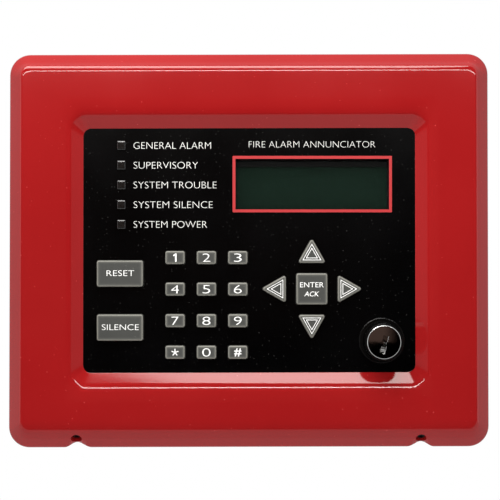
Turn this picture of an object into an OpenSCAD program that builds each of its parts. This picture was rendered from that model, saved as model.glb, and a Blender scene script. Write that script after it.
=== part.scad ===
// Remote annunciator panel of a fire alarm system, for a wall.
// A moulded bezel covers a shallow steel box; behind its window a flat steel panel carries the
// status lamps, the character display, nineteen rubber keys and a key switch.
//
// Every sub-part is written in panel axes: x to the right, y up, z out from the wall, with z = 0
// on the wall. upright() then stands it up, so the finished part has +Z up and faces -Y.

/* [Case] */
// Width of the bezel
case_w = 242.4; // [241:0.2:246]
// Height of the bezel
case_h = 199.2; // [198.4:0.2:202]
// Distance from the wall to the front face of the bezel
case_d = 37.5; // [37.5:0.1:38.5]
// Corner radius of the bezel's outline
case_r = 10.5; // [8:0.5:13]
// Wall thickness of the bezel
wall = 2.5; // [2:0.1:2.8]
// Width of the flat front face of the bezel
face_w = 228.2; // [227:0.1:229]
// Height of the flat front face of the bezel
face_h = 181.3; // [180:0.1:182]
// How far the front face sits above the middle of the case
face_up = 1.1; // [0:0.1:2]
// Depth of the bevel round the outside
bevel_d = 8; // [7.5:0.1:8.5]
// Distance of the two bezel screws from the middle
bezel_screw_x = 87; // [70:1:95]
// Angle of the bezel screws, from straight ahead towards the floor
bezel_screw_tilt = 59; // [58:1:60]

/* [Panel] */
// Distance from the wall to the printed face of the panel
panel_z = 33; // [32:0.5:34]
// Width of the panel that shows in the bezel
panel_w = 166.4; // [164:0.1:168]
// Height of the panel that shows in the bezel
panel_h = 122.7; // [121:0.1:124]
// Width of the slope from the front face down to the panel, at the sides
slope_w = 7.25; // [7:0.05:7.5]
// Width of that slope above and below the panel
slope_h = 7.7; // [7.4:0.1:8]
// Thickness of the steel front plate
plate_t = 1.5; // [1.2:0.1:1.8]
// Gap round each key in the panel
key_gap = 0.3; // [0.2:0.05:0.4]

/* [Display] */
// Centre of the display, to the right of the middle
lcd_x = 32.05; // [31:0.1:33]
// Centre of the display, above the middle
lcd_y = 33.2; // [32.5:0.1:34]
// Width of the display window
lcd_w = 77.3; // [76:0.1:78]
// Height of the display window
lcd_h = 25.1; // [24:0.1:26]

/* [Keys] */
// How far the keys stand out of the panel
key_out = 2.5; // [2:0.1:3]
// Travel of every key
key_travel = 1.2; // [0.8:0.1:1.3]
// Pitch of the number keys
key_pitch = 15.8; // [15:0.1:16]
// Width of a number key
digit_w = 10.1; // [9:0.1:11]
// Height of a number key
digit_h = 6.9; // [6:0.1:8]
// Width of the two long keys
long_w = 23.6; // [22:0.1:25]
// Height of the two long keys
long_h = 13.5; // [12:0.1:14]
// Side of the square enter key
enter_w = 16; // [14:0.1:17]

/* [Key switch] */
// Key switch, to the right of the middle
lock_x = 67; // [66:0.1:68]
// Key switch, above the middle
lock_y = -45.5; // [-46:0.1:-45]
// Outer radius of the key switch barrel
lock_r = 9.2; // [8.8:0.1:9.4]
// How far the barrel stands out of the panel
lock_out = 14; // [10:0.5:16]

/* [Wall box] */
// Width of the steel wall box
box_w = 228; // [224:1:230]
// Height of the steel wall box
box_h = 184; // [182:1:185]
// Depth of the steel wall box
box_d = 25; // [22:0.5:25]
// Sheet thickness of the wall box
box_t = 1.2; // [1:0.1:1.5]
// Sideways distance of the wall screw holes, as on a four-gang wiring box
wall_hole_dx = 138.1; // [138.1:0.1:138.1]
// Upright distance of the wall screw holes
wall_hole_dy = 83.3; // [83.3:0.1:83.3]
// Radius of the wall screw holes
wall_hole_r = 2.4; // [2:0.1:2.6]
// Radius of the wire entry
entry_r = 11.1; // [9:0.1:12]

/* [Hidden] */
$fn = 64;
plate_front = panel_z - 0.25;
plate_back = plate_front - plate_t;
board_front = 27.2;
board_t = 1.6;
board_back = board_front - board_t;
board_w = 172;
board_h = 128;
mat_t = 1;
lens_w = 4.2;
lens_h = 4.5;
lens_x = -64.3;
lens_top = 52.9;
lens_pitch = 9.97;
lens_ys = [for (i = [0:4]) lens_top - lens_pitch * i];
key_r = 0.8;
digit_x = -21.3;
digit_y = -27.6;
digit_row = 15.9;
long_x = -64.9;
long_ys = [-11.8, -39];
enter_x = 31.8;
enter_y = -19.5;
arrow_in = 13;
arrow_base = 14.5;
arrow_rise = 12.75;
arrow_r = 1;
entry_x = -38;
entry_y = -4;
plate_screw = [95.5, 73];
stud_places = [[-81, 58.5], [-81, -58.5], [-26, 59.5], [70, 59.5], [30, -59], [81, -10]];
lcd_board_w = 98;
lcd_board_h = 60;
lcd_board_z = 19.2;
lcd_frame_w = 97;
lcd_frame_h = 39.5;
lcd_frame_z = 29.6;
lcd_hole = [46.5, 27.5];
plug_r = 6;
plug_head_r = 8.4;
run_fit = 0.06;
barrel_back = 14;
block_back = 4.5;
barrel_front = panel_z + lock_out;
bezel_screw_y = -94.3;
bezel_screw_z = 33.3;
groove_r = 4;
groove_rise = 3;
corners = [[1, 1], [-1, 1], [-1, -1], [1, -1]];

DIGIT_KEYS = ["key_1", "key_2", "key_3", "key_4", "key_5", "key_6",
              "key_7", "key_8", "key_9", "key_star", "key_0", "key_hash"];
LONG_KEYS = ["key_reset", "key_silence"];
ARROW_KEYS = ["key_up", "key_right", "key_down", "key_left"];

// ---- Shapes that many sub-parts share ----

// Turns panel axes into the part's own: +Z up, facing -Y
module upright() {
    rotate([90, 0, 0]) children();
}

// A rectangle with round corners, in the panel's plane
module rounded(w, h, r) {
    square([w - 2 * r, h], center = true);
    square([w, h - 2 * r], center = true);
    for (c = corners) translate([c.x * (w / 2 - r), c.y * (h / 2 - r)]) circle(r);
}

// A flat sheet of the children's outline, from z0 to z1
module sheet(z0, z1) {
    translate([0, 0, z0]) linear_extrude(z1 - z0) children();
}

// A plain block centred at x, y, from z0 to z1
module block(x, y, w, h, z0, z1) {
    translate([x - w / 2, y - h / 2, z0]) cube([w, h, z1 - z0]);
}

// A disc or rod at x, y, from z0 to z1
module rod(x, y, r, z0, z1) {
    translate([x, y, z0]) cylinder(r = r, h = z1 - z0);
}

// A pan-head screw: head from z0 to z1 and a shank that ends at tip
module pan_screw(x, y, head_r, shank_r, z0, z1, tip) {
    rod(x, y, head_r, min(z0, z1), max(z0, z1));
    rod(x, y, shank_r, min(z0, tip), max(z0, tip));
}

// Corner points of a ring with round corners: w by h, radius r, its middle at height up, at z
function ring(w, h, r, up, z, steps = 8) = [
    for (c = [0:3]) for (i = [0:steps])
        let (a = 90 * c + 90 * i / steps, s = corners[c])
        [s.x * (w / 2 - r) + r * cos(a), up + s.y * (h / 2 - r) + r * sin(a), z]
];

// Points of a round-cornered triangle with its base on y = 0 and its tip at y = rise;
// grow widens it evenly on all sides
function arrow_points(base, rise, r, grow) =
    let (side = norm([base / 2, rise]),
         inner = base * rise / (base + 2 * side),
         lean = atan2(rise, base / 2),
         mid = [0, inner],
         k = (inner - r) / inner,
         tips = [[base / 2, 0], [0, rise], [-base / 2, 0]],
         from = [-90, 90 - lean, 90 + lean],
         turn = [180 - lean, 2 * lean, 180 - lean])
    [for (c = [0:2]) for (i = [0:8])
        let (a = from[c] + turn[c] * i / 8)
        mid + (tips[c] - mid) * k + (r + grow) * [cos(a), sin(a)]];

// Outline of the number key n, counted from 0 along the rows, wider all round by grow
module digit_outline(n, grow) {
    translate([digit_x + (n % 3 - 1) * key_pitch, digit_y + (1.5 - floor(n / 3)) * digit_row])
        rounded(digit_w + 2 * grow, digit_h + 2 * grow, key_r + max(grow, -0.3));
}

module long_outline(n, grow) {
    translate([long_x, long_ys[n]])
        rounded(long_w + 2 * grow, long_h + 2 * grow, key_r + max(grow, -0.3));
}

module enter_outline(grow) {
    translate([enter_x, enter_y])
        rounded(enter_w + 2 * grow, enter_w + 2 * grow, key_r + max(grow, -0.3));
}

// n counts round the enter key from the top, clockwise
module arrow_outline(n, grow) {
    translate([enter_x, enter_y]) rotate(-90 * n) translate([0, arrow_in])
        polygon(arrow_points(arrow_base, arrow_rise, arrow_r, grow));
}

module key_outlines(grow) {
    for (n = [0:11]) digit_outline(n, grow);
    for (n = [0:1]) long_outline(n, grow);
    enter_outline(grow);
    for (n = [0:3]) arrow_outline(n, grow);
}

// Every opening of the panel: keys, display, lamps and key switch
module panel_openings() {
    key_outlines(key_gap);
    translate([lcd_x, lcd_y]) square([lcd_w, lcd_h], center = true);
    for (y = lens_ys) translate([lens_x, y]) square([lens_w + 0.3, lens_h + 0.3], center = true);
    translate([lock_x, lock_y]) circle(lock_r + 0.1);
}

// One rubber key: the cap outside the panel, a rim that holds it behind the plate and a foot.
// The first child is the cap's outline, the second the rim's, the third the foot's.
module key_body() {
    rim_top = plate_back - 0.15;
    sheet(rim_top, panel_z + key_out) children(0);
    sheet(rim_top - 0.9, rim_top) children(1);
    sheet(board_front + key_travel + 0.1, rim_top - 0.9) children(2);
}

key_colour = [0.33, 0.33, 0.31];
steel = [0.72, 0.73, 0.74];
red = [0.68, 0.12, 0.12];
board_green = [0.10, 0.32, 0.20];

// ---- Wall box ----

module back_box() color([0.78, 0.78, 0.76]) upright() difference() {
    sheet(0, box_d) rounded(box_w, box_h, 3);
    sheet(box_t, box_d + 1) rounded(box_w - 2 * box_t, box_h - 2 * box_t, 3 - box_t);
    for (c = corners)
        rod(c.x * wall_hole_dx / 2, c.y * wall_hole_dy / 2, wall_hole_r, -1, box_t + 1);
    rod(entry_x, entry_y, entry_r, -1, box_t + 1);
}

module earth_screw() color([0.2, 0.55, 0.25]) upright() difference() {
    rod(-98, -60, 4, box_t, box_t + 3);
    block(-98, -60, 9, 0.9, box_t + 2, box_t + 4);
}

module box_standoffs() color(steel) upright()
    for (c = corners) translate([c.x * plate_screw.x, c.y * plate_screw.y, box_t]) difference() {
        cylinder(r = 3.5, h = plate_back - box_t, $fn = 6);
        translate([0, 0, plate_back - box_t - 9]) cylinder(r = 1.5, h = 10);
    }

// Two bent steel tabs on the lower wall of the box, tapped for the bezel screws
module bezel_tabs() color(steel) upright()
    for (s = [-1, 1]) difference() {
        translate([s * bezel_screw_x - 7, 0, 0]) rotate([90, 0, 90]) linear_extrude(14)
            polygon([[-93.5, 10], [-92, 10], [-92, 25.3], [-87.3, 33.5], [-88.6, 34.3], [-93.5, 26]]);
        bezel_screw_axis(s) translate([0, 0, -12]) cylinder(r = 2, h = 13);
    }

// ---- Main board and what is on it ----

module main_board() color(board_green) upright() sheet(board_back, board_front) difference() {
    rounded(board_w, board_h, 3);
    translate([lcd_x, lcd_y]) square([lcd_frame_w + 1.5, lcd_frame_h + 1.5], center = true);
    translate([lock_x, lock_y]) circle(15.5);
    for (p = stud_places) translate(p) circle(1.6);
}

module microcontroller() color([0.12, 0.12, 0.13]) upright()
    block(-38, -30, 14, 14, board_back - 1.5, board_back);

module board_chips() color([0.12, 0.12, 0.13]) upright()
    for (p = [[-12, -22], [-12, -38], [8, -22], [8, -38]])
        block(p.x, p.y, 10.3, 7.5, board_back - 2.4, board_back);

module capacitors() color([0.25, 0.3, 0.45]) upright()
    for (y = [-20, -32, -44]) rod(-72, y, 4, board_back - 10, board_back);

module sounder() color([0.1, 0.1, 0.1]) upright() difference() {
    rod(-66, 30, 11.5, board_back - 8, board_back);
    rod(-66, 30, 1.5, board_back - 9, board_back - 6);
}

module terminal_block() color([0.15, 0.5, 0.3]) upright() difference() {
    block(-18, -54, 81.3, 10, board_back - 12, board_back);
    for (n = [0:15]) {
        rod(-18 + (n - 7.5) * 5.08, -54, 1.9, board_back - 13, board_back - 9);
        block(-18 + (n - 7.5) * 5.08, -58, 3.4, 4, board_back - 7.5, board_back - 3);
    }
}

module terminal_screws() color(steel) upright()
    for (n = [0:15]) rod(-18 + (n - 7.5) * 5.08, -54, 1.8, board_back - 11, board_back - 9);

module dip_switch() color([0.65, 0.12, 0.12]) upright() difference() {
    block(-38, -8, 22.4, 6.5, board_back - 4, board_back);
    for (n = [0:7]) block(-38 + (n - 3.5) * 2.54, -8, 1.2, 3, board_back - 5, board_back - 3.2);
}

module status_leds() color([0.9, 0.9, 0.8]) upright()
    for (y = lens_ys) block(lens_x, y, 3.2, 2.8, board_front, board_front + 1.6);

// ---- Display module ----

module lcd_board() color(board_green) upright() sheet(lcd_board_z, lcd_board_z + board_t)
    translate([lcd_x, lcd_y]) difference() {
        square([lcd_board_w, lcd_board_h], center = true);
        for (c = corners) translate([c.x * lcd_hole.x, c.y * lcd_hole.y]) circle(1.4);
    }

module lcd_backlight() color([0.85, 0.9, 0.8]) upright()
    block(lcd_x, lcd_y, 92, 36, lcd_board_z + board_t, lcd_frame_z - 1.8);

module lcd_glass() color([0.09, 0.15, 0.12]) upright()
    block(lcd_x, lcd_y, 92, 36, lcd_frame_z - 1.8, lcd_frame_z - 0.6);

// Folded steel frame that clamps the glass to its board
module lcd_frame() color([0.15, 0.15, 0.15]) upright() difference() {
    block(lcd_x, lcd_y, lcd_frame_w, lcd_frame_h, lcd_board_z + board_t, lcd_frame_z);
    block(lcd_x, lcd_y, lcd_frame_w - 1.2, lcd_frame_h - 1.2, lcd_board_z, lcd_frame_z - 0.6);
    block(lcd_x, lcd_y - 1.65, lcd_w - 0.8, lcd_h - 3.6, lcd_frame_z - 1, lcd_frame_z + 1);
}

module lcd_header() color([0.1, 0.1, 0.1]) upright()
    block(lcd_x - 22, lcd_y + 27, 40.6, 2.5, lcd_board_z + board_t, board_back);

module lcd_standoffs() color(steel) upright()
    for (c = corners) translate([lcd_x + c.x * lcd_hole.x, lcd_y + c.y * lcd_hole.y, 0]) difference() {
        translate([0, 0, lcd_board_z + board_t]) cylinder(r = 2.4, h = board_back - lcd_board_z - board_t);
        translate([0, 0, lcd_board_z]) cylinder(r = 1.25, h = 5);
    }

module lcd_screws() color(steel) upright()
    for (c = corners)
        pan_screw(lcd_x + c.x * lcd_hole.x, lcd_y + c.y * lcd_hole.y, 2.3, 1.2,
                  lcd_board_z, lcd_board_z - 1.6, lcd_board_z + board_t + 3);

// ---- Keypad ----

// Silicone sheet under the keys, with an opening for the foot of each key
module keypad_mat() color(key_colour) upright() sheet(board_front, board_front + mat_t) difference() {
    translate([-8, -25.5]) rounded(146, 59, 2);
    key_outlines(-0.7);
    translate([lock_x, lock_y]) circle(16);
}

module digit_key(n) color(key_colour) upright() key_body() {
    digit_outline(n, 0);
    digit_outline(n, 1);
    digit_outline(n, -1.1);
}

module long_key(n) color(key_colour) upright() key_body() {
    long_outline(n, 0);
    long_outline(n, 1);
    long_outline(n, -1.1);
}

module enter_key() color(key_colour) upright() key_body() {
    enter_outline(0);
    enter_outline(1);
    enter_outline(-1.1);
}

module arrow_key(n) color(key_colour) upright() key_body() {
    arrow_outline(n, 0);
    arrow_outline(n, 1);
    arrow_outline(n, -0.95);
}

// ---- Front panel ----

module front_plate() color([0.2, 0.2, 0.2]) upright() sheet(plate_back, plate_front) difference() {
    rounded(200, 156, 4);
    panel_openings();
    for (c = corners) translate([c.x * plate_screw.x, c.y * plate_screw.y]) circle(1.7);
}

// Studs welded to the back of the plate, which carry the main board
module plate_studs() color(steel) upright()
    for (p = stud_places) rod(p.x, p.y, 1.5, board_back - 3.2, plate_back);

module stud_spacers() color([0.9, 0.9, 0.88]) upright()
    for (p = stud_places) translate([p.x, p.y, board_front]) difference() {
        cylinder(r = 3, h = plate_back - board_front);
        translate([0, 0, -1]) cylinder(r = 1.6, h = plate_back - board_front + 2);
    }

module stud_nuts() color(steel) upright()
    for (p = stud_places) translate([p.x, p.y, board_back - 2.4]) difference() {
        cylinder(r = 3.18, h = 2.4, $fn = 6);
        translate([0, 0, -1]) cylinder(r = 1.55, h = 5);
    }

module plate_screws() color(steel) upright()
    for (c = corners)
        pan_screw(c.x * plate_screw.x, c.y * plate_screw.y, 2.8, 1.45,
                  plate_front, plate_front + 2, plate_back - 6);

module lcd_window() color([0.8, 0.85, 0.85, 0.35]) upright()
    block(lcd_x, lcd_y, lcd_w + 5, lcd_h + 5, plate_back - 0.8, plate_back);

// Clear lamp lenses: the square tip passes the panel, a wider foot stays behind it
module led_lenses() color([0.75, 0.76, 0.74, 0.6]) upright()
    for (y = lens_ys) {
        block(lens_x, y, lens_w, lens_h, plate_back - 1, panel_z + 1.3);
        block(lens_x, y, lens_w + 1.6, lens_h + 1.6, plate_back - 1.8, plate_back);
    }

module overlay() color([0.03, 0.03, 0.03]) upright() sheet(plate_front, panel_z) difference() {
    rounded(172, 128, 4);
    panel_openings();
}

// ---- Key switch ----

module lock_barrel() color([0.1, 0.1, 0.1]) upright() difference() {
    rod(lock_x, lock_y, lock_r, barrel_back, barrel_front - 0.5);
    rod(lock_x, lock_y, plug_r + run_fit, barrel_back - 1, barrel_front + 1);
    rod(lock_x, lock_y, plug_head_r + run_fit, barrel_front - 1.7, barrel_front + 1);
}

// The plug turns in the barrel; its head has the keyway and its collar keeps it in
module lock_plug() color([0.45, 0.43, 0.42]) upright() difference() {
    union() {
        rod(lock_x, lock_y, plug_head_r, barrel_front - 1.6, barrel_front);
        rod(lock_x, lock_y, plug_r, barrel_back - 1.4, barrel_front - 1);
        rod(lock_x, lock_y, 7.6, barrel_back - 1.4, barrel_back - 0.2);
        block(lock_x, lock_y, 3, 6, barrel_back - 4, barrel_back - 1);
    }
    translate([lock_x, lock_y - 1.2, barrel_front - 24]) rotate(-13) linear_extrude(25)
        polygon([[-1.2, 4.3], [-1.2, 1], [-0.7, 0.5], [-0.7, -0.5], [-1.2, -1], [-1.2, -4.3],
                 [1.2, -4.3], [1.2, -0.4], [0.8, 0.1], [0.8, 1.2], [1.2, 1.7], [1.2, 4.3]]);
}

module lock_ring() color([0.1, 0.1, 0.1]) upright() difference() {
    rod(lock_x, lock_y, 11.4, panel_z, panel_z + 2);
    rod(lock_x, lock_y, lock_r + 0.05, panel_z - 1, panel_z + 3);
}

module lock_washer() color(steel) upright() difference() {
    rod(lock_x, lock_y, 12.4, plate_back - 0.5, plate_back);
    rod(lock_x, lock_y, lock_r + 0.05, plate_back - 1, plate_back + 1);
}

module lock_nut() color(steel) upright() difference() {
    translate([lock_x, lock_y, plate_back - 3.7]) cylinder(r = 13.8, h = 3.2, $fn = 6);
    rod(lock_x, lock_y, lock_r + 0.05, plate_back - 5, plate_back);
}

// Three blades for the wires, set in the side of the contact block; grow widens them
module blades(grow) {
    for (y = [-5, 0, 5])
        block(lock_x - 12.5, lock_y + y, 11, 2.8 + grow, block_back + 1.5, block_back + 2.3 + grow);
}

// Contact block on the back of the barrel
module switch_block() color([0.12, 0.12, 0.12]) upright() difference() {
    rod(lock_x, lock_y, 10.5, block_back, barrel_back);
    rod(lock_x, lock_y, 8.2, block_back + 4.5, barrel_back + 1);
    blades(0.1);
}

module switch_terminals() color([0.8, 0.7, 0.4]) upright() blades(0);

// ---- Bezel ----

// Axis of a bezel screw: z points out of the case, with z = 0 on the lower bevel
module bezel_screw_axis(side) {
    translate([side * bezel_screw_x, bezel_screw_y, bezel_screw_z])
        rotate([bezel_screw_tilt, 0, 0]) children();
}

// Groove in the bezel's lower wall, which lets a driver reach the screw; grow thickens it
module driver_groove(side, grow, z0, z1) {
    rod(side * bezel_screw_x, -case_h / 2 - groove_r + groove_rise, groove_r + grow, z0, z1);
}

// The bezel's skin is one closed loop of rings: up the outside, over the front face, down
// the slope to the panel and back inside
module bezel_shell() {
    back = 0.6;
    edge = case_d - bevel_d;
    under = case_d - wall;
    fall = case_d - panel_z;
    lean = atan2(fall, slope_w);
    behind = wall / sin(lean);
    back_run = (under - panel_z - 0.1) / tan(lean);
    opening_w = panel_w + 2 * slope_w;
    opening_h = panel_h + 2 * slope_h;
    inner_w = case_w - 2 * wall;
    inner_h = case_h - 2 * wall;
    rings = [
        ring(case_w, case_h, case_r, 0, back),
        ring(case_w, case_h, case_r, 0, edge - 0.8),
        ring(case_w - 0.6, case_h - 0.6, case_r - 0.3, 0, edge + 0.4),
        ring(case_w - 7.6, case_h - 10.2, case_r - 3, 0.4, edge + 4.4),
        ring(face_w + 0.6, face_h + 0.6, 4.3, face_up, case_d - 0.3),
        ring(face_w - 0.8, face_h - 0.8, 3.8, face_up, case_d),
        ring(opening_w + 1.4, opening_h + 1.4, 8.6, 0.25, case_d),
        ring(opening_w - 0.8, opening_h - 0.8, 8, 0.25, case_d - 0.3),
        ring(panel_w, panel_h, 4, 0.25, panel_z + 0.1),
        ring(panel_w + 2 * behind, panel_h + 2 * behind, 6, 0.25, panel_z + 0.1),
        ring(panel_w + 2 * (behind + back_run), panel_h + 2 * (behind + back_run), 8, 0.25, under),
        ring(face_w - 2.4, face_h - 2.4, 3.4, face_up, under),
        ring(inner_w - 5, inner_h - 7, case_r - 4, 0.6, edge + 2),
        ring(inner_w, inner_h, case_r - wall, 0, edge - 2),
        ring(inner_w, inner_h, case_r - wall, 0, back)
    ];
    n = len(rings[0]);
    m = len(rings);
    polyhedron(
        points = [for (r = rings) for (p = r) p],
        faces = [for (j = [0:m - 1]) for (i = [0:n - 1])
            [j * n + i, ((j + 1) % m) * n + i, ((j + 1) % m) * n + (i + 1) % n, j * n + (i + 1) % n]]
    );
}

module bezel() color(red) upright() difference() {
    union() {
        bezel_shell();
        intersection() {
            for (s = [-1, 1]) driver_groove(s, wall - 0.1, 0.6, case_d - bevel_d + 0.4);
            translate([-case_w / 2, 1 - case_h / 2, 0]) cube([case_w, 10, case_d]);
        }
    }
    for (s = [-1, 1]) {
        driver_groove(s, 0, -1, case_d - bevel_d + 3);
        bezel_screw_axis(s) {
            translate([0, 0, -1]) cylinder(r = 3.9, h = 12);
            translate([0, 0, -6]) cylinder(r = 2.25, h = 8);
        }
    }
}

// Black socket-head grub screws that hold the bezel on its tabs
module bezel_screws() color([0.08, 0.08, 0.08]) upright()
    for (s = [-1, 1]) bezel_screw_axis(s) difference() {
        translate([0, 0, -7.6]) cylinder(r = 1.95, h = 7.2);
        translate([0, 0, -2.4]) cylinder(r = 1.1, h = 3, $fn = 6);
    }

// ---- Nodes ----

back_box();
earth_screw();
box_standoffs();
bezel_tabs();
main_board();
microcontroller();
board_chips();
capacitors();
sounder();
terminal_block();
terminal_screws();
dip_switch();
status_leds();
lcd_board();
lcd_backlight();
lcd_glass();
lcd_frame();
lcd_header();
lcd_standoffs();
lcd_screws();
keypad_mat();
for (n = [0:len(DIGIT_KEYS) - 1]) digit_key(n);
for (n = [0:len(LONG_KEYS) - 1]) long_key(n);
for (n = [0:len(ARROW_KEYS) - 1]) arrow_key(n);
enter_key();  // key_enter
front_plate();
plate_studs();
stud_spacers();
stud_nuts();
plate_screws();
lcd_window();
led_lenses();
overlay();
lock_barrel();
lock_plug();
lock_ring();
lock_washer();
lock_nut();
switch_block();
switch_terminals();
bezel();
bezel_screws();
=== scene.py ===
"""Looks of a fire alarm annunciator panel: finishes, moulded and printed pieces, and its studio."""

import bpy
import bmesh
import numpy as np
from math import atan2, cos, pi, radians, sin
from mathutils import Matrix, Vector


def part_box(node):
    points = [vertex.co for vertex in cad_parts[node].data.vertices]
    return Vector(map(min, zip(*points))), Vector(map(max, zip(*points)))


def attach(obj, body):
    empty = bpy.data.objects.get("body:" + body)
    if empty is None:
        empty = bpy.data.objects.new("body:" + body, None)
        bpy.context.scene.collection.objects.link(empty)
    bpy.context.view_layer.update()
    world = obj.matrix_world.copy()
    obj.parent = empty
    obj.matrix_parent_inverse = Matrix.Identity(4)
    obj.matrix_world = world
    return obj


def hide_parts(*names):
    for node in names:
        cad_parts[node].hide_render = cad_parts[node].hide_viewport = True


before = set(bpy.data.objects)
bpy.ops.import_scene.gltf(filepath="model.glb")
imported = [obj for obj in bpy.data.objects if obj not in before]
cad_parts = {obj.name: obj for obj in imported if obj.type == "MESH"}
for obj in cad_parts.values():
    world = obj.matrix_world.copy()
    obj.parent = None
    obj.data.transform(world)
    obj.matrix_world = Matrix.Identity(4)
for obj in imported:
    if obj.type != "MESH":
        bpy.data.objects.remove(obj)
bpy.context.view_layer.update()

# ---- Camera ----
# It looks straight at the middle of the panel from 0.64 m, a little right of centre.

MM = 0.001
film_front = -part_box("overlay")[0].y / MM
camera_reach = 640
camera_data = bpy.data.cameras.new("camera")
camera_data.lens = 91.2
camera_data.sensor_width = 36
camera = bpy.data.objects.new("camera", camera_data)
camera.location = (0.65 * MM, -(film_front + camera_reach) * MM, 0.1 * MM)
camera.rotation_euler = (pi / 2, 0, 0)
bpy.context.scene.collection.objects.link(camera)
bpy.context.scene.camera = camera


# ---- Steel wall box ----
# A folded and powder-coated steel tray that is screwed to the wall. Swaged hexagonal standoffs
# carry the front plate, and two tapped tabs on its lower wall take the bezel's grub screws.

def node_group(name, inputs, outputs):
    """An empty shader node group with named float inputs and outputs."""
    tree = bpy.data.node_groups.new(name, "ShaderNodeTree")
    for label, value in inputs.items():
        socket = tree.interface.new_socket(label, in_out="INPUT", socket_type="NodeSocketFloat")
        socket.default_value = value
    for label in outputs:
        tree.interface.new_socket(label, in_out="OUTPUT", socket_type="NodeSocketFloat")
    return tree, tree.nodes.new("NodeGroupInput"), tree.nodes.new("NodeGroupOutput")


def maths(tree, operation, a, b=0.0):
    """A Math node; a and b are sockets or numbers."""
    node = tree.nodes.new("ShaderNodeMath")
    node.operation = operation
    for socket, value in zip(node.inputs, (a, b)):
        if isinstance(value, (int, float)):
            socket.default_value = value
        else:
            tree.links.new(value, socket)
    return node.outputs[0]


def noise(tree, scale, detail):
    """A noise over Object coordinates; scale is a socket or a number of features a metre."""
    place = tree.nodes.new("ShaderNodeTexCoord")
    node = tree.nodes.new("ShaderNodeTexNoise")
    node.inputs["Detail"].default_value = detail
    tree.links.new(place.outputs["Object"], node.inputs["Vector"])
    if isinstance(scale, (int, float)):
        node.inputs["Scale"].default_value = scale
    else:
        tree.links.new(scale, node.inputs["Scale"])
    return node.outputs["Fac"]


# Two noises of one grain: a fine pebble and a slow wave under it
grain_group, grain_in, grain_out = node_group("grain", {"Scale": 2000.0, "Wave": 0.5}, ["Height"])
pebble = noise(grain_group, grain_in.outputs["Scale"], 2.0)
slow = noise(grain_group, maths(grain_group, "MULTIPLY", grain_in.outputs["Scale"], 0.13), 1.0)
grain_group.links.new(
    maths(grain_group, "ADD", pebble, maths(grain_group, "MULTIPLY", slow, grain_in.outputs["Wave"])),
    grain_out.inputs["Height"])

# Slow drift between two shades, from 0 to 1
drift_group, drift_in, drift_out = node_group("drift", {"Scale": 20.0}, ["Shade"])
spread = maths(drift_group, "MULTIPLY_ADD", noise(drift_group, drift_in.outputs["Scale"], 4.0), 2.2)
spread.node.inputs[2].default_value = -0.6
spread.node.use_clamp = True
drift_group.links.new(spread, drift_out.inputs["Shade"])

# Fine dust: specks where a cell's centre is near and a second noise lets them through
dust_group, dust_in, dust_out = node_group("dust", {"Scale": 600.0, "Size": 0.1, "Amount": 0.5},
                                           ["Mask"])
dust_place = dust_group.nodes.new("ShaderNodeTexCoord")
dust_cells = dust_group.nodes.new("ShaderNodeTexVoronoi")
dust_group.links.new(dust_place.outputs["Object"], dust_cells.inputs["Vector"])
dust_group.links.new(dust_in.outputs["Scale"], dust_cells.inputs["Scale"])
speck = maths(dust_group, "LESS_THAN", dust_cells.outputs["Distance"], dust_in.outputs["Size"])
patchy = maths(dust_group, "LESS_THAN", noise(dust_group, 900.0, 2.0), dust_in.outputs["Amount"])
dust_group.links.new(maths(dust_group, "MULTIPLY", speck, patchy), dust_out.inputs["Mask"])


def use_group(mat, group, **values):
    """Places a shared effect in a material with its own values and returns the node."""
    node = mat.node_tree.nodes.new("ShaderNodeGroup")
    node.node_tree = group
    for label, value in values.items():
        node.inputs[label.capitalize()].default_value = value
    return node


def blend_colours(mat, factor, first, second):
    """Mixes two colours, given as values or sockets, by a factor socket."""
    node = mat.node_tree.nodes.new("ShaderNodeMix")
    node.data_type = "RGBA"
    mat.node_tree.links.new(factor, node.inputs["Factor"])
    for socket, value in ((node.inputs[6], first), (node.inputs[7], second)):
        if isinstance(value, tuple):
            socket.default_value = (*value, 1)
        else:
            mat.node_tree.links.new(value, socket)
    return node.outputs[2]


def new_finish(name, shades, rough, metallic=0.0, ior=1.5, coat=0.0, drift=25.0, grain=2500.0,
               wave=0.5, depth=0.01, dust=0.0, dust_scale=500.0, dust_colour=(0.5, 0.47, 0.43)):
    """A finish: two shades that drift into each other, a roughness range, grain of a depth in mm, and
    dust. Returns the material, its shader and the last colour socket."""
    mat = bpy.data.materials.new(name)
    mat.use_nodes = True
    tree = mat.node_tree
    shader = tree.nodes["Principled BSDF"]
    shader.inputs["Metallic"].default_value = metallic
    shader.inputs["IOR"].default_value = ior
    shader.inputs["Coat Weight"].default_value = coat
    shader.inputs["Coat Roughness"].default_value = 0.08
    shade = use_group(mat, drift_group, scale=drift).outputs["Shade"]
    colour = blend_colours(mat, shade, *shades)
    height = use_group(mat, grain_group, scale=grain, wave=wave).outputs["Height"]
    if dust:
        mask = use_group(mat, dust_group, scale=dust_scale, size=0.1, amount=dust).outputs["Mask"]
        colour = blend_colours(mat, mask, colour, dust_colour)
    tree.links.new(colour, shader.inputs["Base Color"])
    gloss = tree.nodes.new("ShaderNodeMapRange")
    gloss.inputs["To Min"].default_value, gloss.inputs["To Max"].default_value = rough
    tree.links.new(shade, gloss.inputs["Value"])
    tree.links.new(gloss.outputs[0], shader.inputs["Roughness"])
    bump = tree.nodes.new("ShaderNodeBump")
    bump.inputs["Distance"].default_value = depth * MM
    tree.links.new(height, bump.inputs["Height"])
    tree.links.new(bump.outputs["Normal"], shader.inputs["Normal"])
    return mat, shader, colour


def dress(mat, *nodes):
    """Gives CAD nodes a finish."""
    for name in nodes:
        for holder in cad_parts[name].material_slots:
            holder.material = mat


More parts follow.
